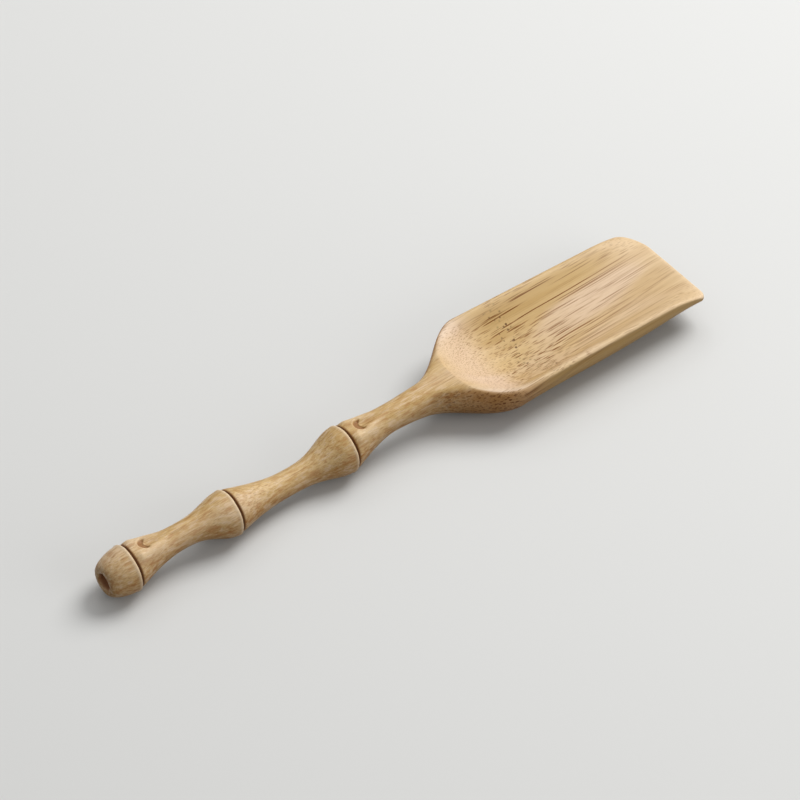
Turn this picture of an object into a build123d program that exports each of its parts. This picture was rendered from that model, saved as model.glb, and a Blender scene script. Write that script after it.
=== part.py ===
from build123d import *
import os
from math import cos, pi, sin, sqrt

# Tea scoop carved from one stick of bamboo, in millimetres.
# X runs from the tail of the handle to the lip of the bowl, Z is up, and the scoop lies on z = 0.
# Until the last step x is counted from the tail end.

# Overall size
length = 165.0
bowl_width = 28.0
shoulder_width = 29.2

# Handle: lengths from ring to ring, and from each ring to the waist on its lip side
tail_cap_length = 6.6
first_internode = 27.95
second_internode = 32.55
first_waist_reach = 14.0
second_waist_reach = 17.0
neck_reach = 13.2

# Radius at each carved ring, at each waist and at the flat of the tail end
tail_ring_radius = 5.85
middle_ring_radius = 5.8
neck_ring_radius = 6.0
first_waist_radius = 3.1
second_waist_radius = 3.05
neck_radius = 3.4
tail_end_radius = 3.2

# Height of the handle's axis at the tail end and the waists. At the rings the handle touches the table.
tail_end_height = 5.55
first_waist_height = 6.9
second_waist_height = 5.0
neck_height = 8.0

# How sharply the handle falls away past a ring, how late it swells and lifts before one, and the cap's dome
fall_power = 2.0
swell_power = 1.4
lift_power = 1.5
dome_power = 1.4

# Carved ring grooves, bud scars beside two of the rings, and the hole in the tail
groove_width = 0.8
groove_depth = 0.5
bud_offset = 4.2
bud_radius = 2.4
bud_depth = 0.6
tail_hole_diameter = 3.8
tail_hole_depth = 3.0

# Bowl, outside: where it widens and its side edges begin, its rim, and its rounded belly
neck_to_flare = 9.5
neck_to_edge = 19.0
flare_length = 20.1
rim_height_rear = 11.55
rim_height_front = 10.65
rim_crown = 0.5
rim_lean = 0.3
lip_drop = 2.3
lip_drop_length = 13.5
belly_reach = 26.5
belly_fullness = 0.65
sole_depth = 0.25
sole_length = 14.1
lip_underside = 5.5
near_corner_radius = 2.0
far_corner_radius = 6.0

# Bowl, inside: the hollow's rounded rear end, its rear wall down to the floor, its rim and its dished floor
hollow_setback = 11.5
hollow_rear_length = 12.8
hollow_wall_length = 19.6
hollow_start_depth = 0.1
ridge_rise = 1.0
rim_width = 1.25
dish_lift = 0.1
floor_height_rear = 4.0
floor_height_front = 8.0

# Handle length of a cubic curve that draws a quarter circle, and room for cuts to pass the surface
circle_fullness = 0.5523
overrun = 2.0
side_room = 0.1

# Places along the stick that follow from the lengths above
tail_ring_x = tail_cap_length
middle_ring_x = tail_ring_x + first_internode
neck_ring_x = middle_ring_x + second_internode
neck_x = neck_ring_x + neck_reach
flare_x = neck_x + neck_to_flare
edge_x = neck_x + neck_to_edge
shoulder_x = flare_x + flare_length
belly_x = neck_x + belly_reach
sole_end_x = shoulder_x + sole_length
lip_drop_x = length - lip_drop_length
hollow_x = shoulder_x - hollow_setback
floor_x = hollow_x + hollow_rear_length
deep_x = hollow_x + hollow_wall_length
clear_height = max(rim_height_rear, 2 * neck_ring_radius) + overrun


def ease(u):
    """Smooth step that stays at 0 before u = 0 and at 1 after u = 1."""
    u = min(max(u, 0.0), 1.0)
    return u * u * (3.0 - 2.0 * u)


def between(low, high, share):
    return low + (high - low) * share


def steps(start, end, count):
    return [between(start, end, i / count) for i in range(count + 1)]


def bow(x, side, half_width, level, rise, fullness, lean):
    """Quarter of a section, from the widest point at one side to the middle line."""
    return [
        (x, side * half_width, level),
        (x, side * half_width * (1.0 - lean), level + fullness * rise),
        (x, side * fullness * half_width, level + rise),
        (x, 0.0, level + rise),
    ]


def section(x, half_width, level, crown, lean, belly, fullness):
    """Closed section: a crown above the widest level, leaning in from there, and a belly below it."""
    top = [half_width, level, crown, circle_fullness, lean]
    low = [half_width, level, -belly, fullness, 0.0]
    right_top = Bezier(*bow(x, 1, *top))
    left_top = Bezier(*reversed(bow(x, -1, *top)))
    left_low = Bezier(*bow(x, -1, *low))
    right_low = Bezier(*reversed(bow(x, 1, *low)))
    return Wire([right_top, left_top, left_low, right_low])


def round_section(x, radius, height):
    return section(x, radius, height, radius, 0.0, radius, circle_fullness)


def fall(u, ring_radius, waist_radius):
    """Radius on the lip side of a ring: steep at the ring, level at the waist."""
    return between(waist_radius, ring_radius, (1.0 - u) ** fall_power)


def swell(u, waist_radius, ring_radius):
    """Radius on the tail side of a ring: level at the waist and again at the ring."""
    return between(waist_radius, ring_radius, 0.5 - 0.5 * cos(pi * u**swell_power))


def tail_cap():
    """Domed end of the handle, up to the first ring."""
    rings = []
    for turn in steps(0.0, pi / 2, 6):
        u = cos(turn)
        radius = between(tail_end_radius, tail_ring_radius, sqrt(1.0 - u**dome_power))
        height = between(tail_ring_radius, tail_end_height, u)
        rings.append(round_section(tail_cap_length * (1.0 - u), radius, height))
    return Solid.make_loft(rings)


def internode(start, waist, end, start_radius, waist_radius, end_radius, waist_height):
    """One waisted length of handle between two rings."""
    rings = []
    for u in steps(0.0, 1.0, 4):
        height = between(start_radius, waist_height, ease(u))
        radius = fall(u, start_radius, waist_radius)
        rings.append(round_section(between(start, waist, u), radius, height))
    for u in steps(0.0, 1.0, 4)[1:]:
        height = between(waist_height, end_radius, ease(u**lift_power))
        radius = swell(u, waist_radius, end_radius)
        rings.append(round_section(between(waist, end, u), radius, height))
    return Solid.make_loft(rings)


def rim_height(x):
    """Height of the widest line of the bowl, dropping in a curve towards the lip."""
    along = (x - shoulder_x) / (length - shoulder_x)
    drop = max(x - lip_drop_x, 0.0) / lip_drop_length
    return between(rim_height_rear, rim_height_front, max(along, 0.0)) - lip_drop * drop**2


def underside(x):
    """Lowest line of the bowl: from the neck down to the sole, then up to the lip."""
    down = between(neck_height - neck_radius, -sole_depth, ease((x - neck_x) / (belly_x - neck_x)))
    up = max(x - sole_end_x, 0.0) / (length - sole_end_x)
    return down + (lip_underside + sole_depth) * up**2


def head_section(x):
    """Section past the neck: a round stick that widens into the bowl, with an edge along the rim."""
    turn = ease((x - neck_x) / (shoulder_x - neck_x))
    flare = ease((x - flare_x) / flare_length)
    along = max(x - shoulder_x, 0.0) / (length - shoulder_x)
    widest = between(shoulder_width, bowl_width, along) / 2
    half_width = between(neck_radius, widest, flare)
    level = between(neck_height, rim_height(x), turn)
    crown = between(neck_radius, rim_crown, turn)
    lean = between(0.0, rim_lean, ease((x - neck_x) / (edge_x - neck_x)))
    fullness = between(circle_fullness, belly_fullness, ease((x - neck_x) / (belly_x - neck_x)))
    return section(x, half_width, level, crown, lean, level - underside(x), fullness)


def neck():
    """From the last ring over the neck to the bowl's shoulders."""
    rings = []
    for u in steps(0.0, 1.0, 4):
        height = between(neck_ring_radius, neck_height, ease(u))
        radius = fall(u, neck_ring_radius, neck_radius)
        rings.append(round_section(between(neck_ring_x, neck_x, u), radius, height))
    for x in steps(neck_x, flare_x, 3)[1:]:
        rings.append(head_section(x))
    for x in steps(flare_x, shoulder_x, 6)[1:]:
        rings.append(head_section(x))
    return Solid.make_loft(rings)


def solid_bowl():
    """Bowl before it is hollowed, from the shoulders to just past the lip.

    It is ruled between sections, which stand closer where the belly and then the rim curve towards the lip.
    """
    places = [shoulder_x] + steps(sole_end_x, lip_drop_x, 5) + steps(lip_drop_x, length + overrun, 5)[1:]
    return Solid.make_loft([head_section(x) for x in places], ruled=True)


def dish(x, side, half_width, edge, floor):
    """Half of the hollow's section, from its edge down a slope that eases into the floor."""
    shoulder = floor + dish_lift * (edge - floor)
    return Bezier(
        (x, side * half_width, edge),
        (x, side * half_width * 2 / 3, shoulder),
        (x, side * half_width / 3, floor),
        (x, 0.0, floor),
    )


def hollow_section(x, half_width, edge, floor):
    """Dished section with straight sides above it, so that the cut clears the rim."""
    near = dish(x, -1, half_width, edge, floor)
    far = dish(x, 1, half_width, edge, floor)
    sides = Polyline(far @ 0, (x, half_width, clear_height), (x, -half_width, clear_height), near @ 0)
    return Wire([near, far] + sides.edges())


def hollow_width(x):
    """Half the width of the hollow at its edge, where the bowl is at its full width."""
    along = max(x - shoulder_x, 0.0) / (length - shoulder_x)
    return between(shoulder_width, bowl_width, along) / 2 - rim_width


def hollow_floor(x, edge):
    """Lowest line of the hollow: down the rear wall, levelling off, then up along the floor to the lip."""
    line = between(floor_height_rear, floor_height_front, (x - floor_x) / (length - floor_x))
    down = sin(min((x - hollow_x) / hollow_wall_length, 1.0) * pi / 2)
    return edge - between(hollow_start_depth, edge - line, down)


def spoon_end():
    """Rounded rear end of the hollow. It starts in the air above the neck."""
    rings = []
    for turn in steps(pi / 12, pi / 2, 6):
        x = between(hollow_x, floor_x, 1.0 - cos(turn))
        edge = rim_height(x) + ridge_rise * cos(turn)
        rings.append(hollow_section(x, hollow_width(floor_x) * sin(turn), edge, hollow_floor(x, edge)))
    return Solid.make_loft(rings)


def trough():
    """Long run of the hollow, ruled between sections, out through the lip."""
    rings = []
    rear = steps(floor_x, deep_x, 2)[:-1]
    for x in rear + steps(deep_x, lip_drop_x, 3) + steps(lip_drop_x, length + overrun, 5)[1:]:
        edge = rim_height(x)
        rings.append(hollow_section(x, hollow_width(x), edge, hollow_floor(x, edge)))
    return Solid.make_loft(rings, ruled=True)


def hollow():
    return spoon_end() + trough()


def plan_block():
    """Upright block that squares off the lip and rounds its two corners, seen from above."""
    rear = shoulder_width / 2 + side_room
    front = bowl_width / 2 + side_room
    near_side = [(-overrun, -rear), (shoulder_x, -rear), (length, -front)]
    far_side = [(length, front), (shoulder_x, rear), (-overrun, rear)]
    outline = make_face(Polyline(*near_side, *far_side, close=True))
    near_corner = outline.vertices().group_by(Axis.X)[-1].sort_by(Axis.Y)[0]
    outline = fillet(near_corner, near_corner_radius)
    far_corner = outline.vertices().group_by(Axis.X)[-1].sort_by(Axis.Y)[-1]
    outline = fillet(far_corner, far_corner_radius)
    return Pos(0, 0, -overrun) * extrude(outline, clear_height + overrun)


def sole_cut():
    """Block under the bowl, whose top is the flat that the bowl rests on."""
    long = length - neck_x
    block = Box(long, shoulder_width, overrun, align=(Align.MIN, Align.CENTER, Align.MAX))
    return Pos(neck_x, 0, 0) * block


def ring_groove(ring_x, ring_radius):
    """V cut round the handle: square on the tail side, at the ring, and sloping out on the lip side."""
    bottom = 2 * ring_radius - groove_depth
    top = bottom + 2 * groove_depth
    corners = [(ring_x, 0, bottom), (ring_x + 2 * groove_width, 0, top), (ring_x, 0, top)]
    profile = make_face(Polyline(*corners, close=True))
    return revolve(profile, Axis((0, 0, ring_radius), (1, 0, 0)))


def bud_scar(ring_x, reach, ring_radius, waist_radius, waist_height):
    """Round bite across the top of the handle, just past a ring."""
    u = bud_offset / reach
    top = between(ring_radius, waist_height, ease(u)) + fall(u, ring_radius, waist_radius)
    gouge = Rot(90, 0, 0) * Cylinder(bud_radius, 2 * ring_radius)
    return Pos(ring_x + bud_offset, 0, top + bud_radius - bud_depth) * gouge


def tail_hole():
    """Blind hole along the axis of the tail end."""
    foot = (Align.CENTER, Align.CENTER, Align.MIN)
    drill = Cylinder(tail_hole_diameter / 2, tail_hole_depth + overrun, align=foot)
    return Pos(-overrun, 0, tail_end_height) * Rot(0, 90, 0) * drill


def scoop():
    stick = tail_cap()
    stick += internode(
        tail_ring_x,
        tail_ring_x + first_waist_reach,
        middle_ring_x,
        tail_ring_radius,
        first_waist_radius,
        middle_ring_radius,
        first_waist_height,
    )
    stick += internode(
        middle_ring_x,
        middle_ring_x + second_waist_reach,
        neck_ring_x,
        middle_ring_radius,
        second_waist_radius,
        neck_ring_radius,
        second_waist_height,
    )
    stick += neck()
    stick += solid_bowl()
    stick = stick & plan_block()
    stick -= sole_cut()
    stick -= hollow()
    stick -= ring_groove(tail_ring_x, tail_ring_radius)
    stick -= ring_groove(middle_ring_x, middle_ring_radius)
    stick -= ring_groove(neck_ring_x, neck_ring_radius)
    stick -= bud_scar(
        tail_ring_x, first_waist_reach, tail_ring_radius, first_waist_radius, first_waist_height
    )
    stick -= bud_scar(neck_ring_x, neck_reach, neck_ring_radius, neck_radius, neck_height)
    stick -= tail_hole()
    return Pos(-length / 2, 0, 0) * stick


os.makedirs("parts", exist_ok=True)
export_step(scoop(), "parts/bamboo_scoop.step")
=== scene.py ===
import math

import bpy
import numpy as np
from mathutils import Matrix, Vector


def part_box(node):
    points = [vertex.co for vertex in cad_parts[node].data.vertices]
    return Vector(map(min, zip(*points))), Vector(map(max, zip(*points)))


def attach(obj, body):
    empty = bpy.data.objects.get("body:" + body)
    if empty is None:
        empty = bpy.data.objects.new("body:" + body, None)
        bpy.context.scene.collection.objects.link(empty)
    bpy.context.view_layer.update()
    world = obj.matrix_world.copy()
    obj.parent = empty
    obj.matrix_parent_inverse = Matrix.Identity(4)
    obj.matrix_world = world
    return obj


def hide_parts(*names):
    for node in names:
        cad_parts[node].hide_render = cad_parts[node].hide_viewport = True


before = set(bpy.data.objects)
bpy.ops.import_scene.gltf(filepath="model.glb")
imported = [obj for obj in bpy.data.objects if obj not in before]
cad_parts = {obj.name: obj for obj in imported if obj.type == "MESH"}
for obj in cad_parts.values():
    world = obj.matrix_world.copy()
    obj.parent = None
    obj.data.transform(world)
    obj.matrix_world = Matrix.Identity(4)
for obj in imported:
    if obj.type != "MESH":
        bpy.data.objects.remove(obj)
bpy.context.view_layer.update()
mm = 0.001
low, high = (np.array(corner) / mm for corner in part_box("bamboo_scoop"))
print("frame: scoop", np.round(high - low, 1), "mm")


def ease(u):
    # smooth step: 3u^2 - 2u^3, held at 0 and 1 outside
    u = np.clip(u, 0.0, 1.0)
    return u * u * (3.0 - 2.0 * u)


def stepUp(x, start, end):
    # smooth step from 0 at start to 1 at end
    return ease((x - start) / (end - start))


def mix(a, b, share):
    return a + (b - a) * share


def bell(distance, reach):
    # bell curve: e to the power of -(distance / reach)^2
    return np.exp(-((distance / reach) ** 2))


def softLower(a, b, width):
    # the lower of two heights, with a rounded edge of about that width where they cross
    share = np.clip(0.5 + 0.5 * (b - a) / width, 0.0, 1.0)
    return mix(b, a, share) - width * share * (1.0 - share)


# Handle, in millimetres, x counted from the tail end. The neck ring is the scoop's highest place.
handle = {
    "ringX": (6.6, 34.55, 67.1),
    "ringRadius": (5.85, 5.8, high[2] / 2),
    "waistX": (20.6, 51.55, 80.3),
    "waistRadius": (3.1, 3.05, 3.4),
    "waistHeight": (6.9, 5.0, 8.0),
    "fallPower": 2.0,
    "swellPower": 1.4,
    "liftPower": 1.5,
    "tailRadius": 3.2,
    "tailHeight": 5.55,
    "domePower": 1.4,
    "unevenness": 0.06,
    "unevenEnd": (80.0, 95.0),
}


def handleLine(x):
    # radius and axis height along the handle. The tail is a dome: end radius + rise * sqrt(1 - u^power),
    # with u from 1 at the tail to 0 at the ring. Past each ring the radius falls as (1 - u)^power to the
    # waist, then swells as half a cosine to the next ring.
    h = handle
    u = np.clip(1.0 - x / h["ringX"][0], 0.0, 1.0)
    radius = mix(h["tailRadius"], h["ringRadius"][0], np.sqrt(1.0 - u ** h["domePower"]))
    height = mix(h["ringRadius"][0], h["tailHeight"], u)
    for k, (ringX, waistX) in enumerate(zip(h["ringX"], h["waistX"])):
        ringRadius, waistRadius = h["ringRadius"][k], h["waistRadius"][k]
        waistHeight = h["waistHeight"][k]
        past = x > ringX
        u = np.clip((x - ringX) / (waistX - ringX), 0.0, 1.0)
        radius = np.where(past, mix(waistRadius, ringRadius, (1.0 - u) ** h["fallPower"]), radius)
        height = np.where(past, mix(ringRadius, waistHeight, ease(u)), height)
        if k + 1 < len(h["ringX"]):
            nextX, nextRadius = h["ringX"][k + 1], h["ringRadius"][k + 1]
            past = x > waistX
            u = np.clip((x - waistX) / (nextX - waistX), 0.0, 1.0)
            swell = 0.5 - 0.5 * np.cos(np.pi * u ** h["swellPower"])
            radius = np.where(past, mix(waistRadius, nextRadius, swell), radius)
            height = np.where(past, mix(waistHeight, nextRadius, ease(u ** h["liftPower"])), height)
    return radius, height


def handWaves(x, around):
    # the slight unevenness of hand work: two crossing waves, cut in from the round, that end past the neck
    wave = np.sin(0.33 * x + 1.1) * np.sin(2.0 * around + 0.21 * x)
    return -handle["unevenness"] * (0.5 + 0.5 * wave) * (1.0 - stepUp(x, *handle["unevenEnd"]))


# Bowl, in millimetres, x counted from the tail end. Length and width come from the frame.
bowl = {
    "lipX": high[0] - low[0],
    "flareX": 89.8,
    "shoulderX": 109.9,
    "bellyX": 106.8,
    "shoulderWidth": high[1] - low[1],
    "lipWidth": 28.0,
    "rimRear": 11.3,
    "rimFront": 10.4,
    "rimCrown": 0.5,
    "rimRoll": 0.6,
    "rimSharpness": 8.0,
    "flankX": 102.0,
    "flankLength": 8.0,
    "flankDrop": 2.2,
    "flankRounding": 2.0,
    "leanX": 105.0,
    "lean": 1.4,
    "lipDrop": 2.3,
    "lipDropLength": 13.5,
    "lipUnderside": 5.5,
    "lipRound": 0.5,
    "lipBow": 0.35,
    "soleDepth": 0.25,
    "soleEndX": 124.0,
    "bellyFullness": 0.65,
    "lipFullness": 0.12,
    "fullerX": (120.0, 160.0),
    "nearCorner": 2.0,
    "farCorner": 7.0,
    "cornerLength": 26.0,
    "hollowX": 98.4,
    "floorX": 111.2,
    "deepX": 118.0,
    "startDepth": 0.1,
    "hollowRise": 0.25,
    "ridgeRise": 0.9,
    "rimWidth": 1.25,
    "rearTaper": 1.25,
    "dishLift": 0.1,
    "floorRear": 4.0,
    "floorFront": 8.0,
    "ripple": 0.05,
    "ridgeSoftness": 3.4,
    "edgeSoftness": 1.4,
    "crispX": (104.0, 116.0),
}


def pastShoulders(x):
    # share of the way from the shoulders to the lip
    return np.clip((x - bowl["shoulderX"]) / (bowl["lipX"] - bowl["shoulderX"]), 0.0, None)


def bowlHalfWidth(x):
    return mix(bowl["shoulderWidth"], bowl["lipWidth"], pastShoulders(x)) / 2


def rimHeight(x):
    # straight from the shoulders to the lip, less a parabola over the last stretch
    b = bowl
    drop = np.clip(x - b["lipX"] + b["lipDropLength"], 0.0, None) / b["lipDropLength"]
    return mix(b["rimRear"], b["rimFront"], pastShoulders(x)) - b["lipDrop"] * drop**2


def stock(x, share):
    # the carved stick before it is hollowed: half width, level of the widest line, crown height, belly
    # depth, and the powers that square off the crown and the belly. On the handle all are a plain circle.
    # On the near flank of the flare the widest line runs lower.
    b = bowl
    neckX = handle["waistX"][2]
    radius, height = handleLine(x)
    turn = stepUp(x, neckX, b["shoulderX"])
    belly = stepUp(x, neckX, b["bellyX"])
    halfWidth = mix(radius, bowlHalfWidth(x), stepUp(x, b["flareX"], b["shoulderX"]))
    flank = bell(x - b["flankX"], b["flankLength"]) * (0.5 - 0.5 * share)
    level = mix(height, rimHeight(x) - b["rimRoll"], turn) - b["flankDrop"] * flank
    crown = mix(radius, b["rimCrown"] + b["rimRoll"], turn) + b["flankDrop"] * flank
    upturn = np.clip(x - b["soleEndX"], 0.0, None) / (b["lipX"] - b["soleEndX"])
    underside = mix(height - radius, -b["soleDepth"], belly)
    underside = underside + (b["lipUnderside"] + b["soleDepth"]) * upturn**2
    # a quarter curve of that fullness passes 0.5 + 0.375 * fullness at its middle, and so does the power
    circleFullness, circlePower = 0.5523, 2.0
    fullness = mix(circleFullness, b["bellyFullness"], belly)
    fullness = fullness + b["lipFullness"] * stepUp(x, *b["fullerX"])
    bellyPower = math.log(0.5) / np.log(0.5 + 0.375 * fullness)
    crownPower = mix(circlePower, b["rimSharpness"], turn) - b["flankRounding"] * flank
    return halfWidth, level, crown, level - underside, crownPower, bellyPower


def flankLean(x, share):
    # how far the near flank of the flare leans in at its top: a bell curve along it, and the square of the
    # share across it
    b = bowl
    return b["lean"] * bell(x - b["leanX"], b["flankLength"]) * np.clip(-share, 0.0, 1.0) ** 2


def hollowHeight(x, y):
    # the bowl's inside: floor + depth * ((1 - 3 lift) v^3 + 3 lift v^2), where v is the share of the half
    # width, with a ripple of two crossing waves. Its rear end is nearly half an ellipse in plan, and starts
    # in the air above the neck.
    b = bowl
    clear, thinnest = 60.0, 0.02
    along = np.clip((x - b["hollowX"]) / (b["floorX"] - b["hollowX"]), 0.0, 1.0)
    down = np.clip((x - b["hollowX"]) / (b["deepX"] - b["hollowX"]), 0.0, 1.0)
    turn = np.arccos(1.0 - along)
    edge = rimHeight(x) + b["hollowRise"] + b["ridgeRise"] * np.cos(turn)
    floorLine = mix(b["floorRear"], b["floorFront"], (x - b["floorX"]) / (b["lipX"] - b["floorX"]))
    floor = edge - mix(b["startDepth"], edge - floorLine, np.sin(down * np.pi / 2))
    halfWidth = (bowlHalfWidth(x) - b["rimWidth"]) * np.sin(turn) ** b["rearTaper"]
    v = np.abs(y) / np.maximum(halfWidth, thinnest)
    shape = (1.0 - 3.0 * b["dishLift"]) * v**3 + 3.0 * b["dishLift"] * v**2
    ripple = b["ripple"] * np.sin(0.21 * x + 0.5 * y) * np.sin(0.62 * y + 0.07 * x)
    inside = np.minimum(floor + (edge - floor) * shape + ripple, clear)
    return np.where(x > b["hollowX"], inside, clear)


def lipSetback(share):
    # how far the lip outline falls back from straight: a slight bow, and a quarter circle at each corner
    b = bowl
    half = b["lipWidth"] / 2
    corner = np.where(share < 0.0, b["nearCorner"], b["farCorner"])
    over = np.clip(np.abs(share) * half - (half - corner), 0.0, corner)
    return b["lipBow"] * share**2 + corner - np.sqrt(np.clip(corner**2 - over**2, 0.0, None))


# Ring cuts, in millimetres, counted from each ring towards the lip.
rings = {
    "cutStart": 0.1,
    "cutWall": 0.16,
    "cutFloor": 0.24,
    "cutWidth": 0.9,
    "cutDepth": 0.65,
    "depthSwing": 0.12,
    "wander": (0.08, 0.03),
    "edgeRise": 0.12,
    "edgeBack": 0.28,
    "edgeReach": 0.36,
    "edgeSpread": 1.6,
    "edgeEnd": 0.1,
    # how much paler the raised edge is: wear and a painted highlight
    "edgeWearAndHighlight": 0.75,
    # where the dirt and painted shade in the cut set in, and how fast they spread
    "dirtAndShade": (0.05, 0.2),
    "dirtAndShadeSpread": 1.8,
}


def ringCarving(x, around):
    # each ring ends in a small raised edge, then a cut with a steep tail side that slopes out towards the
    # lip. Tone is 1 at the bottom of the cut, which is dirt and painted shade, and below 0 on the raised
    # edge, which is worn and carries a painted highlight.
    r = rings
    slow, quick = r["wander"]
    relief, tone = np.zeros_like(x), np.zeros_like(x)
    for k, ringX in enumerate(handle["ringX"]):
        wander = slow * np.sin(2.0 * around + 1.7 * k) + quick * np.sin(5.0 * around + k)
        a = x - ringX - r["cutStart"] - wander
        cut = ease(a / r["cutWall"]) * (1.0 - ease((a - r["cutFloor"]) / r["cutWidth"]))
        depth = r["cutDepth"] * (1.0 + r["depthSwing"] * np.sin(3.0 * around + 2.0 * k))
        edge = bell(a + r["edgeBack"], r["edgeReach"])
        relief += r["edgeRise"] * (edge - bell(x - ringX, r["edgeSpread"])) - depth * cut
        # dirt and painted shade at the bottom of the cut
        tone += ease(r["dirtAndShadeSpread"] * cut) * stepUp(a, *r["dirtAndShade"])
        # wear and a painted highlight on the raised edge
        tone -= r["edgeWearAndHighlight"] * edge * (a < r["edgeEnd"])
    return relief, tone


# Bud scars, in millimetres: place along the stick, number of the ring before it, step aside; then the pared
# flat, the trailing hollow and the crescent cut, counted from the bud towards the lip.
buds = {
    "x": (11.5, 71.8),
    "ring": (0, 2),
    "side": (0.3, 0.0),
    "length": 7.5,
    "radius": 1.55,
    "depth": 0.5,
    "flatRise": 0.25,
    "flatness": 0.7,
    "flatWidth": (2.9, 1.2),
    "flatStart": (0.6, 2.6),
    "flatEnd": 1.0,
    "flatEdge": (-0.2, 2.6),
    "ridgeStep": 0.2,
    "ridgeReach": 1.1,
    "trailDepth": 0.8,
    "trailWidth": 0.85,
    "trailPower": 0.7,
    "trailRunOut": 0.8,
    "trailStart": (-0.6, 0.3),
    "trailEdge": (-0.245, 0.455),
    "trailShade": (0.0, 2.5),
    "innerSize": 0.78,
    "innerStep": 0.62,
    "innerEdge": (-0.25, 0.25),
    "outerEdge": (-0.15, 0.15),
    "crescentEnd": (0.3, 1.2),
    "burrRise": 0.05,
    "burrStep": 0.2,
    "burrReach": 0.22,
    # tone of each mark: painted shade in the crescent and the trailing hollow, wear and painted highlight
    # on the burr and the flat's ridge
    "tone": {"crescent": 0.62, "trail": 0.3, "burr": -0.25, "ridge": -0.4},
}


def budCarving(x, radius, share):
    # behind each bud the stick is pared to a flat that narrows towards the lip; its height over the round
    # stick is radius / cosine - radius inside the flat, and fades outside it. The bud is a crescent cut,
    # the part of one circle that lies outside a second one, with a slight burr, and a drop-shaped hollow
    # trails from it.
    b, weight = buds, buds["tone"]
    r = b["radius"]
    relief, tone = np.zeros_like(x), np.zeros_like(x)
    for budX, ring, side in zip(b["x"], b["ring"], b["side"]):
        ringX = handle["ringX"][ring]
        fromRing, a = x - ringX, x - budX
        across = radius * share - side
        aside = np.abs(across)
        away = np.hypot(a, across)

        stretch = stepUp(fromRing, *b["flatStart"]) * (1.0 - stepUp(a, b["flatEnd"], b["length"]))
        width = mix(*b["flatWidth"], np.clip(fromRing / (budX + b["length"] - ringX), 0.0, 1.0))
        sine = np.minimum(aside, width) / np.maximum(radius, 1.0)
        flat = radius / np.sqrt(np.clip(1.0 - sine**2, 0.05, 1.0)) - radius
        flat = b["flatness"] * flat + b["flatRise"]
        relief += flat * stretch * (1.0 - stepUp(aside - width, *b["flatEdge"]))
        ridge = bell(aside - width - b["ridgeStep"], b["ridgeReach"]) * stretch

        point = np.clip(1.0 - a / b["length"], 0.0, 1.0)
        half = b["trailWidth"] * r * point ** b["trailPower"]
        trail = stepUp(half - aside, *b["trailEdge"]) * stepUp(a, *b["trailStart"])
        trail = trail * point ** b["trailRunOut"]
        relief -= b["depth"] * b["trailDepth"] * trail

        outer = stepUp(r - away, *b["outerEdge"])
        toInner = b["innerSize"] * r - np.hypot(a - b["innerStep"] * r, across)
        crescent = outer * (1.0 - stepUp(toInner, *b["innerEdge"])) * (1.0 - stepUp(a, *b["crescentEnd"]))
        relief -= b["depth"] * crescent
        burr = bell(away - r - b["burrStep"], b["burrReach"]) * (a < 0.0) * (1.0 - crescent)
        relief += b["burrRise"] * burr

        # painted shade in the crescent and in the trailing hollow
        tone += weight["crescent"] * crescent + weight["trail"] * trail * stepUp(a, *b["trailShade"])
        # wear and a painted highlight on the burr and along the flat's ridge
        tone += weight["burr"] * burr + weight["ridge"] * ridge * (1.0 - crescent)
    return relief, tone


# Wear and painted highlight along the rim and the lip, in millimetres, x counted from the tail end.
rimLipWearAndHighlight = {
    "rimX": 96.0,
    "rimShare": (0.1, 0.26),
    "rimShareX": (102.0, 112.0),
    "rimReach": (1.8, 5.0),
    "outerX": (104.0, 112.0),
    "lipShare": 0.8,
    "lipReach": 0.7,
}


def wearAndHighlightTone(x, fromLip, gap):
    # bell curves of the gap between the stick's top and the hollow, wider on the rim's outer edge, and of
    # the distance from the lip; the stronger one counts. The pale tone is wear and a painted highlight.
    w = rimLipWearAndHighlight
    outer = stepUp(x, *w["outerX"]) * (gap < 0.0)
    rim = bell(gap, mix(*w["rimReach"], outer)) * (x > w["rimX"])
    rim = rim * mix(*w["rimShare"], stepUp(x, *w["rimShareX"]))
    return np.maximum(rim, w["lipShare"] * bell(fromLip, w["lipReach"]))


# Rows of the mesh: counts and degrees of turn for the dome and the lip, rows a millimetre between them, and
# crowds of rows, each as more rows a millimetre, step towards the lip and reach. The lag is in millimetres.
meshRows = {
    "halfColumns": 96,
    "domeCount": 26,
    "domeTurn": 77.4,
    "lipCount": 10,
    "lipTurn": 84.0,
    "perMm": 1.25,
    "ringCrowd": (13.0, 0.3, 0.7),
    "budCrowds": ((5.0, 0.0, 2.2), (1.5, 3.0, 4.0)),
    "ridgeCrowd": (3.0, 0.0, 3.4),
    "lag": 12.0,
    "lagX": 88.0,
    "lagLength": 40.0,
    "lagPower": 2.8,
    "evenOut": (30.0, 6.0),
}


def rowPlaces():
    # places of the cross rows: the dome by equal turns, then a spacing of 1 / (base + bell curves), then
    # the lip by equal turns. Thinning is 1, and falls as a cosine round the lip.
    m, b = meshRows, bowl
    domeTurn = np.linspace(0.0, math.radians(m["domeTurn"]), m["domeCount"])
    dome = handle["ringX"][0] * (1.0 - np.cos(domeTurn))
    lipStart = b["lipX"] - b["lipRound"]
    x = np.linspace(dome[-1], lipStart, 8000)
    crowds = [(ringX, m["ringCrowd"]) for ringX in handle["ringX"]]
    crowds += [(budX, crowd) for budX in buds["x"] for crowd in m["budCrowds"]]
    crowds += [(b["floorX"], m["ridgeCrowd"])]
    density = np.full_like(x, m["perMm"])
    for place, (more, step, reach) in crowds:
        density += more * bell(x - place - step, reach)
    count = np.concatenate(([0.0], np.cumsum((density[1:] + density[:-1]) / 2 * np.diff(x))))
    body = np.interp(np.linspace(0.0, count[-1], int(count[-1])), count, x)
    lipTurn = np.linspace(0.0, math.radians(m["lipTurn"]), m["lipCount"])[1:]
    lip = lipStart + b["lipRound"] * np.sin(lipTurn)
    places = np.concatenate((dome, body[1:], lip))
    thinning = np.concatenate((np.ones(len(places) - len(lip)), np.cos(lipTurn)))
    return places, thinning


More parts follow.
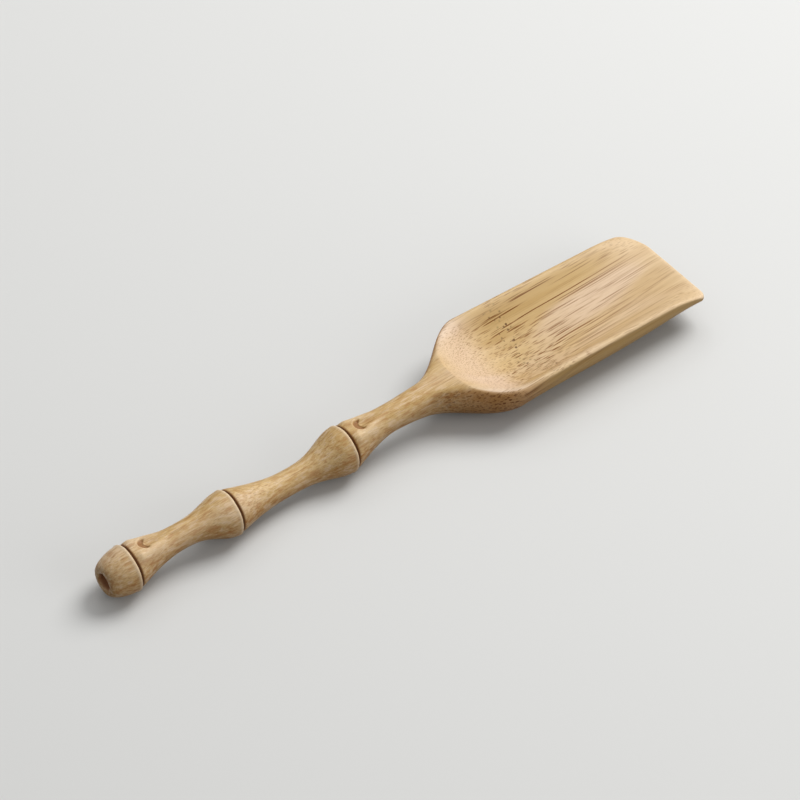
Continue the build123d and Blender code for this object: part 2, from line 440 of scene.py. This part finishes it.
def scoopGrid():
    # rows run from the tail to the lip; each row is a top line and a bottom line that share their two ends.
    # Over the ridge behind the bowl the top rows lag at the middle, so that one of them follows the ridge.
    b, m = bowl, meshRows
    places, thinning = rowPlaces()
    phi = np.linspace(-np.pi / 2, np.pi / 2, m["halfColumns"] + 1)[None, :]
    share = np.sin(phi)
    xs = places[:, None]
    fromLip = b["lipX"] - xs
    lag = m["lag"] * stepUp(xs, m["lagX"], b["floorX"]) * (1.0 - ease((xs - b["floorX"]) / m["lagLength"]))
    lag = lag * np.sqrt(np.clip(1.0 - np.abs(share) ** m["lagPower"], 0.0, None))
    setback = lipSetback(share) * stepUp(fromLip, b["cornerLength"], 0.0)
    topX = xs - lag - setback
    lowX = xs - setback

    halfWidth, level, crown, _, crownPower, _ = stock(topX, share)
    ringRelief, ringTone = ringCarving(topX, phi)
    budRelief, budTone = budCarving(topX, halfWidth, share)
    relief = ringRelief + budRelief + handWaves(topX, phi)
    lift = np.sqrt(np.clip(1.0 - np.abs(share) ** crownPower, 0.0, None))
    crownZ = level + (crown + relief) * lift
    topY = (halfWidth + relief) * share + flankLean(topX, share) * lift
    hollowZ = hollowHeight(topX, topY)
    softness = mix(b["ridgeSoftness"], b["edgeSoftness"], stepUp(topX, *b["crispX"]))
    topZ = softLower(crownZ, hollowZ, softness)
    topZ[:, [0, -1]] = level[:, [0, -1]]
    # tone above 0 is dirt and painted shade in the cuts and buds; below 0 it is wear and painted highlight
    topTone = ringTone + budTone - wearAndHighlightTone(topX, fromLip, crownZ - hollowZ)

    halfWidth, level, _, belly, _, bellyPower = stock(lowX, share)
    evenOut = stepUp(fromLip, *m["evenOut"])
    lowShare = np.sign(share) * np.abs(share) ** mix(2.0 / bellyPower, 1.0, evenOut)
    relief, lowTone = ringCarving(lowX, np.pi - phi)
    relief = relief + handWaves(lowX, np.pi - phi)
    lowY = (halfWidth + relief) * lowShare
    bow = np.clip(1.0 - np.abs(lowShare) ** bellyPower, 0.0, None) ** (1.0 / bellyPower)
    lowZ = np.maximum(level - (belly + relief) * bow, 0.0)

    middle = (topZ + lowZ) / 2
    topZ = middle + (topZ - middle) * thinning[:, None]
    lowZ = middle + (lowZ - middle) * thinning[:, None]
    top = np.stack((topX, topY, topZ), axis=-1)
    lower = np.stack((lowX, lowY, lowZ), axis=-1)
    points = np.concatenate((top, lower[:, -2:0:-1]), axis=1)
    tones = np.concatenate((topTone, lowTone[:, -2:0:-1]), axis=1)
    return points, tones


# Blind hole in the tail, in millimetres.
tailBore = {
    "radius": 1.85,
    "depth": 2.0,
    "dish": 0.5,
    "edge": 0.7,
    "roughness": (0.035, 0.02),
    "darkX": (-0.03, 0.37),
}


def tailHole(columns):
    # a dished bottom, a wall, and a rounded edge that rolls out to the end face: profile (x, radius) turned
    # about the handle's axis, with a radius that wavers a little around the hole
    h, b = handle, tailBore
    bottom = np.linspace(0.15, 1.0, 7)
    wall = np.linspace(0.9, 0.0, 9)[1:-1]
    roll = np.linspace(0.0, np.pi / 2, 8)
    face = np.linspace(b["radius"] + b["edge"], h["tailRadius"], 6)[1:-1]
    x = np.concatenate((
        b["depth"] - b["dish"] * bottom**2,
        b["edge"] + wall * (b["depth"] - b["dish"] - b["edge"]),
        b["edge"] * (1.0 - np.sin(roll)),
        np.zeros_like(face),
    ))
    radius = np.concatenate((
        b["radius"] * bottom,
        np.full_like(wall, b["radius"]),
        b["radius"] + b["edge"] * (1.0 - np.cos(roll)),
        face,
    ))
    around = np.arange(columns) * 2.0 * np.pi / columns - np.pi / 2
    slow, quick = b["roughness"]
    rough = 1.0 + slow * np.sin(3.0 * around + 0.8) + quick * np.sin(7.0 * around)
    inHole = np.clip((h["tailRadius"] - radius) / (h["tailRadius"] - b["radius"]), 0.0, 1.0)
    turned = radius[:, None] * mix(1.0, rough[None, :], inHole[:, None])
    points = np.stack((
        np.repeat(x[:, None], columns, axis=1),
        turned * np.sin(around),
        h["tailHeight"] + turned * np.cos(around),
    ), axis=-1)
    dark = np.repeat(stepUp(x, *b["darkX"])[:, None], columns, axis=1)
    pole = np.array((b["depth"], 0.0, h["tailHeight"]))
    return points, dark, pole


# the mesh carries dirt and painted shade in the cuts and buds, wear and painted highlight, and the bore
surfaceMarks = ("carvedDirtAndShade", "wearAndHighlight", "bore")  # shares that the mesh carries for the finish


def buildScoop():
    body, bodyTone = scoopGrid()
    columns = body.shape[1]
    hole, holeDark, pole = tailHole(columns)
    grid = np.concatenate((hole, body))
    rows = len(grid)
    points = np.concatenate((pole[None, :], grid.reshape(-1, 3)))
    points[:, 0] += low[0]
    tone = np.concatenate(([0.0], np.zeros(holeDark.size), bodyTone.ravel()))
    dark = np.concatenate(([1.0], holeDark.ravel(), np.zeros(bodyTone.size)))

    # quads between rows, triangles at the pole, and a strip that joins the two lines of the lip
    index = 1 + np.arange(rows * columns).reshape(rows, columns)
    after = np.roll(index, -1, axis=1)
    quads = np.stack((index[:-1], index[1:], after[1:], after[:-1]), axis=-1).reshape(-1, 4)
    fan = np.stack((np.zeros(columns, int), index[0], after[0]), axis=-1)
    half = columns // 2
    upper = index[-1, : half + 1]
    under = index[-1, (columns - np.arange(half + 1)) % columns]
    strip = np.stack((upper[1:-2], under[1:-2], under[2:-1], upper[2:-1]), axis=-1)
    ends = np.array(((upper[0], under[1], upper[1]), (upper[-2], under[-2], upper[-1])))
    faces = quads.tolist() + strip.tolist() + fan.tolist() + ends.tolist()

    mesh = bpy.data.meshes.new("bambooScoop")
    mesh.from_pydata((points * mm).tolist(), [], faces)
    mesh.polygons.foreach_set("use_smooth", np.ones(len(mesh.polygons), bool))
    for mark, values in zip(surfaceMarks, (tone, -tone, dark)):
        layer = mesh.attributes.new(mark, "FLOAT", "POINT")
        layer.data.foreach_set("value", np.clip(values, 0.0, 1.0).astype(np.float32))
    mesh.update()
    scoop = bpy.data.objects.new("bambooScoop", mesh)
    bpy.context.scene.collection.objects.link(scoop)
    print("scoop: rows", rows, "columns", columns, "faces", len(faces))
    return scoop


class Value:
    # one shader output; sums written on it add Math nodes
    def __init__(self, bench, socket):
        self.bench, self.socket = bench, socket

    def sum(self, operation, first, second):
        return self.bench.add("Math", {"operation": operation}, {0: first, 1: second})

    def __add__(self, other):
        return self.sum("ADD", self, other)

    def __radd__(self, other):
        return self.sum("ADD", other, self)

    def __sub__(self, other):
        return self.sum("SUBTRACT", self, other)

    def __rsub__(self, other):
        return self.sum("SUBTRACT", other, self)

    def __mul__(self, other):
        return self.sum("MULTIPLY", self, other)

    def __rmul__(self, other):
        return self.sum("MULTIPLY", other, self)

    def __truediv__(self, other):
        return self.sum("DIVIDE", self, other)

    def __rtruediv__(self, other):
        return self.sum("DIVIDE", other, self)


class Bench:
    # a material's node tree, with one method that adds any node
    def __init__(self, name):
        self.material = bpy.data.materials.new(name)
        self.material.use_nodes = True
        self.tree = self.material.node_tree
        self.tree.nodes.clear()

    def add(self, kind, settings=None, inputs=None, output=0):
        node = self.tree.nodes.new("ShaderNode" + kind)
        for key, value in (settings or {}).items():
            setattr(node, key, value)
        for key, value in (inputs or {}).items():
            if isinstance(value, Value):
                self.tree.links.new(value.socket, node.inputs[key])
            else:
                node.inputs[key].default_value = value
        node.location = (len(self.tree.nodes) % 9 * 220, len(self.tree.nodes) // 9 * -320)
        return Value(self, node.outputs[output]) if node.outputs else None

    def fade(self, value, start, end):
        # 0 below start, 1 above end, smooth between
        settings = {"interpolation_type": "SMOOTHSTEP"}
        return self.add("MapRange", settings, {"Value": value, "From Min": start, "From Max": end})

    def within(self, value, start, full, ebb, end):
        # 0 outside start and end, 1 from full to ebb, smooth between
        return self.fade(value, start, full) * (1.0 - self.fade(value, ebb, end))

    def blend(self, first, second, share):
        return self.add("Mix", {"data_type": "RGBA"}, {0: share, 6: first, 7: second}, 2)

    def stretched(self, place, along, across):
        return self.add("VectorMath", {"operation": "MULTIPLY"}, {0: place, 1: (along, across, across)})

    def noise(self, place, along, across, detail, roughness, output=0):
        spot = self.stretched(place, along, across)
        inputs = {"Vector": spot, "Scale": 1.0, "Detail": detail, "Roughness": roughness}
        return self.add("TexNoise", None, inputs, output)

    def rods(self, cross, perMm, core, edge, wider=0.0):
        # cells round each rod, looked at along the stick: share of dark here, and the rod's random number
        settings, spot = {"voronoi_dimensions": "2D"}, {"Vector": cross, "Scale": perMm}
        near = self.add("TexVoronoi", settings, spot, "Distance")
        shade = self.add("TexVoronoi", settings, spot, "Color")
        chance = self.add("SeparateColor", None, {0: shade}, 0)
        return 1.0 - self.fade(near - wider, core, edge), chance


def tint(code):
    # hex colour to linear red, green, blue and alpha
    parts = np.array([int(code[k : k + 2], 16) / 255 for k in (0, 2, 4)])
    linear = np.where(parts <= 0.04045, parts / 12.92, ((parts + 0.055) / 1.055) ** 2.4)
    return (*linear.tolist(), 1.0)


# Bamboo. Noise: cycles a millimetre along and across the stick, detail, roughness. Zones: smooth changes in
# millimetres, x from the tail end or from the node, y across. Limits: smooth changes of other values.
bamboo = {
    "colour": {
        "pale": "d4b682",
        "tan": "c09e65",
        "blush": "dbc0a4",
        # pale for wear and painted highlight on rims, lip and edges
        "burnishAndHighlight": "f0d8b6",
        "bundle": "784600",
        "speck": "5a2e14",
        "stain": "8c7848",
        # the skin side's tints: partly the rind's own colour, partly painted shade
        "skinAndShade": "985016",
        "rindAndShade": "a87a28",
        # browns painted into the cuts and buds: dirt and painted shade
        "cut": "92653a",
        "dirtAndShade": "5a381a",
        "bore": "a2704a",
    },
    "noise": {
        "drift": (0.02, 0.04, 2.0, 0.5),
        "broad": (0.012, 0.30, 2.0, 0.5),
        "patch": (0.035, 0.10, 1.0, 0.5),
        "grain": (0.06, 5.0, 3.0, 0.6),
        "mottle": (0.3, 1.2, 4.0, 0.7),
        "breaks": (0.09, 0.9, 1.0, 0.5),
        "wander": (0.0, 0.22, 1.0, 0.5),
    },
    "zone": {
        "handleEnd": (88.0, 104.0),
        "flare": (88.0, 94.0, 110.0, 118.0),
        "flareSide": (1.0, 4.0),
        "bowlStart": (86.0, 96.0),
        "rear": (96.0, 104.0, 107.0, 115.0),
        "rindAndShade": (106.0, 120.0),
        "nearSideY": (-3.0, 3.0),
        "farWallY": (5.0, 10.5),
        "farWallStart": (112.0, 120.0),
        "farWallEnd": (142.0, 160.0),
        "blush": (126.0, 142.0),
        "bendFromNode": (-9.0, 13.0),
        "darkFromNode": (-10.5, -2.0),
        "darkEnd": (128.0, 150.0),
    },
    "limit": {
        "skinAndShade": (0.0, 0.8),
        "rear": (0.55, 0.8),
        "pitted": (0.2, 0.5),
        "wearAndHighlight": (0.05, 0.2),
        "breaks": (0.36, 0.54),
        "thinChance": (0.2, 0.9),
        "pit": (0.2, 0.44),
        "pitBand": (0.12, 0.5),
        "speckChance": (0.5, 0.85),
        "stainChance": (0.1, 0.4),
        "broad": (0.3, 0.72),
        "patch": (0.48, 0.7),
        "grain": (0.45, 0.8),
        "mottlePale": (0.38, 0.5),
        "mottleDark": (0.48, 0.64),
        "cut": (0.0, 0.6),
        "dirtAndShade": (0.6, 1.0),
    },
    "share": {
        "flareSkinAndShade": 0.5,
        "tanFar": 0.5,
        "blushPatch": 0.5,
        "blushRear": 0.8,
        "blushFront": 0.3,
        "blushHandle": 0.5,
        "shade": 0.45,
        "grain": 0.35,
        "skinAndShade": 0.52,
        "skinAndShadeHandle": -0.28,
        "mottle": 0.36,
        "mottleSkin": 0.2,
        "skinBundle": 0.6,
        "stain": 0.5,
        "speck": 0.75,
        "burnishAndHighlight": 0.85,
        "cut": 0.9,
        "dirtAndShade": 0.9,
        "bore": 0.9,
    },
    "thickDark": {
        "plain": 0.6,
        "skinAndShade": -0.4,
        "flare": 0.85,
        "past": 0.3,
        "pastNear": 0.4,
        "farSide": 1.1,
        "rear": -0.4,
        "wearAndHighlight": -0.6,
        "unbroken": 0.3,
    },
    "thinDark": {
        "plain": 0.52,
        "flare": 0.3,
        "past": 0.4,
        "farSide": 0.3,
        "rear": 0.12,
    },
    "handleDark": 0.6,
    "bundlePerMm": 1.5,
    "bundleSize": (0.12, 0.27),
    "flareSwell": 0.1,
    "thinPerMm": 3.15,
    "thinSize": (0.10, 0.40),
    "fibreSway": 1.3,
    "fibreRise": 0.045,
    "nodeX": 120.0,
    "nodeBend": 2.4,
    "nodeBendFar": -0.85,
    "nodeSlant": 0.6,
    "nodeWander": 6.0,
    "nodeReach": 1.8,
    "pitsPerMm": 1.05,
    "roughness": 0.41,
    "rougher": {"grain": 0.14, "streak": 0.12, "speck": 0.2, "bore": 0.25},
    "height": {"grain": 0.5, "streak": -0.5, "fine": -0.2, "speck": -1.2},
    "bumpStrength": 0.35,
    "bumpDistance": 0.00006,
    "ior": 1.48,
    "specularLevel": 0.22,
}


def bambooFinish():
    # solid bamboo: dark fibre bundles are rods along the stick, so they show as streaks where the surface
    # follows them and as dots where it cuts across them
    look, zone, limit, share = bamboo, bamboo["zone"], bamboo["limit"], bamboo["share"]
    hue = {name: tint(code) for name, code in look["colour"].items()}
    bench = Bench("bambooSatin")
    fade, blend = bench.fade, bench.blend

    here = bench.add("TexCoord", None, None, "Object")
    place = bench.add("VectorMath", {"operation": "SCALE"}, {0: here, "Scale": 1.0 / mm})
    drift = bench.noise(place, *look["noise"]["drift"], output=1)
    sway = bench.stretched(drift, 0.0, look["fibreSway"])
    fibre = bench.add("VectorMath", {"operation": "ADD"}, {0: place, 1: sway})
    fibreX, fibreY, fibreZ = (bench.add("SeparateXYZ", None, {0: fibre}, k) for k in range(3))
    x = fibreX - float(low[0])
    z = bench.add("SeparateXYZ", None, {0: place}, 2)
    facing = bench.add("NewGeometry", None, None, "Normal")
    sideways, upward = (bench.add("SeparateXYZ", None, {0: facing}, k) for k in (1, 2))
    named = ({"attribute_name": mark} for mark in surfaceMarks)
    carvedDirtAndShade, wearAndHighlight, bore = (bench.add("Attribute", settings, None, "Fac") for settings in named)
    broad = bench.noise(fibre, *look["noise"]["broad"])
    patch = bench.noise(place, *look["noise"]["patch"])
    grain = bench.noise(fibre, *look["noise"]["grain"])
    mottle = bench.noise(place, *look["noise"]["mottle"])
    breaks = bench.noise(fibre, *look["noise"]["breaks"])
    wander = bench.noise(place, *look["noise"]["wander"])

    # the skin side is the flanks and the belly, the faces that do not point up; its darker tint there is
    # partly the rind's own colour and partly painted shade. The flare is where the flanks cut across the
    # bundles
    onHandle = 1.0 - fade(x, *zone["handleEnd"])
    flared = bench.within(x, *zone["flare"])
    outward = fade(sideways * fibreY, *zone["flareSide"])
    skinAndShade = 1.0 - fade(upward - share["flareSkinAndShade"] * flared * outward, *limit["skinAndShade"])
    inside = 1.0 - skinAndShade
    flare = skinAndShade * flared
    rear = bench.within(x, *zone["rear"]) * fade(upward, *limit["rear"])
    inBowl = look["handleDark"] + (1.0 - look["handleDark"]) * fade(x - 1.2 * z, *zone["bowlStart"])

    # fibres swerve at the node, less along the far wall, and the node slants across the bowl
    fromNode = x - look["nodeX"]
    farWall = fade(fibreY, *zone["farWallY"])
    bend = look["nodeBend"] * fade(fromNode, *zone["bendFromNode"])
    bend = bend * (1.0 + look["nodeBendFar"] * farWall)
    past = fade(fromNode - look["nodeSlant"] * fibreY, *zone["darkFromNode"])
    past = past * (1.0 - fade(x, *zone["darkEnd"]))
    farWall = farWall * fade(x, *zone["farWallStart"])
    farSide = farWall * (1.0 - fade(x, *zone["farWallEnd"]))
    nearSide = 1.0 - fade(fibreY, *zone["nearSideY"])

    # bundles stand darker on the flare and just past the node, and fainter on the turned handle
    level = fibreZ - look["fibreRise"] * fibreX - bend
    cross = bench.add("CombineXYZ", None, {0: fibreY, 1: level})
    swell = look["flareSwell"] * flare
    thick, thickChance = bench.rods(cross, look["bundlePerMm"], *look["bundleSize"], swell)
    thin, thinChance = bench.rods(cross, look["thinPerMm"], *look["thinSize"])
    dark = look["thickDark"]
    weight = (dark["past"] + dark["pastNear"] * nearSide) * past + dark["farSide"] * farSide
    weight = dark["plain"] + dark["skinAndShade"] * skinAndShade + dark["flare"] * flare + weight * inside
    weight = weight * (1.0 + dark["rear"] * rear) * (1.0 + dark["wearAndHighlight"] * fade(wearAndHighlight, *limit["wearAndHighlight"]))
    weight = weight * (dark["unbroken"] + (1.0 - dark["unbroken"]) * fade(breaks, *limit["breaks"]))
    streak = thick * (0.5 + 0.5 * thickChance) * weight * inBowl
    dark = look["thinDark"]
    weight = dark["plain"] + dark["flare"] * flare + dark["past"] * past
    weight = weight + dark["farSide"] * farSide + dark["rear"] * rear
    fine = thin * fade(thinChance, *limit["thinChance"]) * weight * inBowl

    # specks where the node's inner wall was cut through: a few dark pits, and fainter stains
    offset = (fromNode - (wander - 0.5) * look["nodeWander"]) / look["nodeReach"]
    band = bench.add("Math", {"operation": "EXPONENT"}, {0: offset * offset * -1.0})
    spots = {"Vector": place, "Scale": look["pitsPerMm"]}
    pitNear = bench.add("TexVoronoi", None, spots, "Distance")
    pitShade = bench.add("TexVoronoi", None, spots, "Color")
    pitChance = bench.add("SeparateColor", None, {0: pitShade}, 1)
    pit = 1.0 - fade(pitNear, *limit["pit"])
    pit = pit * fade(band, *limit["pitBand"]) * fade(upward, *limit["pitted"])
    speck = pit * fade(pitChance, *limit["speckChance"])
    stain = pit * fade(pitChance, *limit["stainChance"])

    colour = blend(hue["pale"], hue["tan"], fade(broad, *limit["broad"]) + share["tanFar"] * farWall)
    pinkish = share["blushPatch"] * fade(patch, *limit["patch"]) + share["blushRear"] * rear
    pinkish = pinkish + share["blushFront"] * fade(x, *zone["blush"]) * (1.0 - farSide)
    colour = blend(colour, hue["blush"], pinkish * inside)
    shade = blend(hue["tan"], hue["bundle"], share["shade"])
    colour = blend(colour, shade, share["grain"] * fade(grain, *limit["grain"]))
    # painted shade: faces that do not point up take a darker, redder tint, partly the rind's own colour
    outside = blend(hue["skinAndShade"], hue["rindAndShade"], fade(x, *zone["rindAndShade"]))
    colour = blend(colour, outside, (share["skinAndShade"] + share["skinAndShadeHandle"] * onHandle) * skinAndShade)
    light = share["blushHandle"] * onHandle * (1.0 - fade(mottle, *limit["mottlePale"]))
    colour = blend(colour, hue["blush"], light)
    deep = onHandle * fade(mottle, *limit["mottleDark"]) * (share["mottle"] + share["mottleSkin"] * skinAndShade)
    colour = blend(colour, hue["skinAndShade"], deep)
    colour = blend(colour, hue["bundle"], fine)
    bundle = blend(hue["bundle"], hue["speck"], share["skinBundle"] * skinAndShade)
    colour = blend(colour, bundle, streak)
    colour = blend(colour, hue["stain"], share["stain"] * stain)
    colour = blend(colour, hue["speck"], share["speck"] * speck)
    # wear and painted highlight: rims, lip, ring edges, burrs and bud ridges turn pale
    colour = blend(colour, hue["burnishAndHighlight"], share["burnishAndHighlight"] * wearAndHighlight)
    # dirt and painted shade in the ring cuts, and painted shade in the crescents and trailing hollows
    colour = blend(colour, hue["cut"], share["cut"] * fade(carvedDirtAndShade, *limit["cut"]))
    colour = blend(colour, hue["dirtAndShade"], share["dirtAndShade"] * fade(carvedDirtAndShade, *limit["dirtAndShade"]))
    colour = blend(colour, hue["bore"], share["bore"] * bore)

    more = look["rougher"]
    gloss = look["roughness"] + more["grain"] * (grain - 0.5) + more["streak"] * streak
    gloss = gloss + more["speck"] * speck + more["bore"] * bore
    height = look["height"]
    relief = height["grain"] * grain + height["streak"] * streak
    relief = relief + height["fine"] * fine + height["speck"] * speck
    depth = {"Strength": look["bumpStrength"], "Distance": look["bumpDistance"], "Height": relief}
    finish = {
        "Base Color": colour,
        "Roughness": gloss,
        "Normal": bench.add("Bump", None, depth),
        "IOR": look["ior"],
        "Specular IOR Level": look["specularLevel"],
    }
    shader = bench.add("BsdfPrincipled", None, finish)
    bench.add("OutputMaterial", None, {"Surface": shader})
    print("finish: nodes", len(bench.tree.nodes))
    return bench.material


# Studio, in metres and watts. Lamps: place, size, power.
studio = {
    "floorColour": "d6d6d4",
    "floorBounce": "606060",
    "floorRoughness": 0.8,
    "floorSize": 6.0,
    "ambient": 0.34,
    "lamps": {
        "key": ((0.7, 0.1, 0.83), 0.7, 9.8),
        "back": ((0.3, 0.6, 0.8), 0.6, 1.6),
        "fill": ((0.4, -0.9, 0.3), 0.9, 2.8),
    },
}


def areaLamp(name, place, size, power):
    # a round lamp that faces the origin
    data = bpy.data.lights.new(name, "AREA")
    data.shape = "DISK"
    data.size = size
    data.energy = power
    lamp = bpy.data.objects.new(name, data)
    lamp.visible_camera = False
    turn = Vector(place).to_track_quat("Z", "Y").to_matrix().to_4x4()
    lamp.matrix_world = Matrix.Translation(place) @ turn
    bpy.context.scene.collection.objects.link(lamp)


def buildStudio():
    # plain pale floor that sends back less light than it shows, an even sky, a soft key beyond the lip,
    # another lamp behind and a weak fill
    s = studio
    reach = s["floorSize"] / 2
    mesh = bpy.data.meshes.new("floor")
    corners = [(-reach, -reach, 0.0), (reach, -reach, 0.0), (reach, reach, 0.0), (-reach, reach, 0.0)]
    mesh.from_pydata(corners, [], [(0, 1, 2, 3)])
    floor = bpy.data.objects.new("floor", mesh)
    bench = Bench("paleFloor")
    rays = ("Is Camera Ray", "Is Glossy Ray", "Is Transmission Ray")
    camera, glossy, through = (bench.add("LightPath", None, None, ray) for ray in rays)
    seen = bench.blend(tint(s["floorBounce"]), tint(s["floorColour"]), camera + glossy + through)
    shader = bench.add("BsdfPrincipled", None, {"Base Color": seen, "Roughness": s["floorRoughness"]})
    bench.add("OutputMaterial", None, {"Surface": shader})
    mesh.materials.append(bench.material)
    bpy.context.scene.collection.objects.link(floor)
    world = bpy.data.worlds.new("softSky")
    world.use_nodes = True
    sky = world.node_tree.nodes["Background"]
    sky.inputs["Color"].default_value = (1.0, 1.0, 1.0, 1.0)
    sky.inputs["Strength"].default_value = s["ambient"]
    bpy.context.scene.world = world
    for name, (place, size, power) in s["lamps"].items():
        areaLamp(name, place, size, power)
    bpy.context.scene.view_settings.view_transform = "Standard"
    print("studio: floor, sky and", len(s["lamps"]), "lamps")


# Camera at the photo's angle, in degrees and metres; the aim is in millimetres.
view = {
    "azimuth": -37.68,
    "elevation": 45.2,
    "distance": 1.0,
    "aim": (2.85, 2.48, 8.67),
    "focalPixels": 4328.0,
    "picturePixels": 800,
}


def buildCamera():
    a, e = math.radians(view["azimuth"]), math.radians(view["elevation"])
    back = Vector((math.sin(a) * math.cos(e), -math.cos(a) * math.cos(e), math.sin(e)))
    data = bpy.data.cameras.new("camera")
    data.sensor_width = 36.0
    data.lens = view["focalPixels"] / view["picturePixels"] * data.sensor_width
    camera = bpy.data.objects.new("camera", data)
    camera.location = Vector(view["aim"]) * mm + back * view["distance"]
    camera.rotation_euler = back.to_track_quat("Z", "Y").to_euler()
    bpy.context.scene.collection.objects.link(camera)
    bpy.context.scene.camera = camera
    print("camera: lens", round(data.lens, 1), "mm")


scoop = buildScoop()
scoop.data.materials.append(bambooFinish())
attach(scoop, "root")
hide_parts("bamboo_scoop")
buildStudio()
buildCamera()
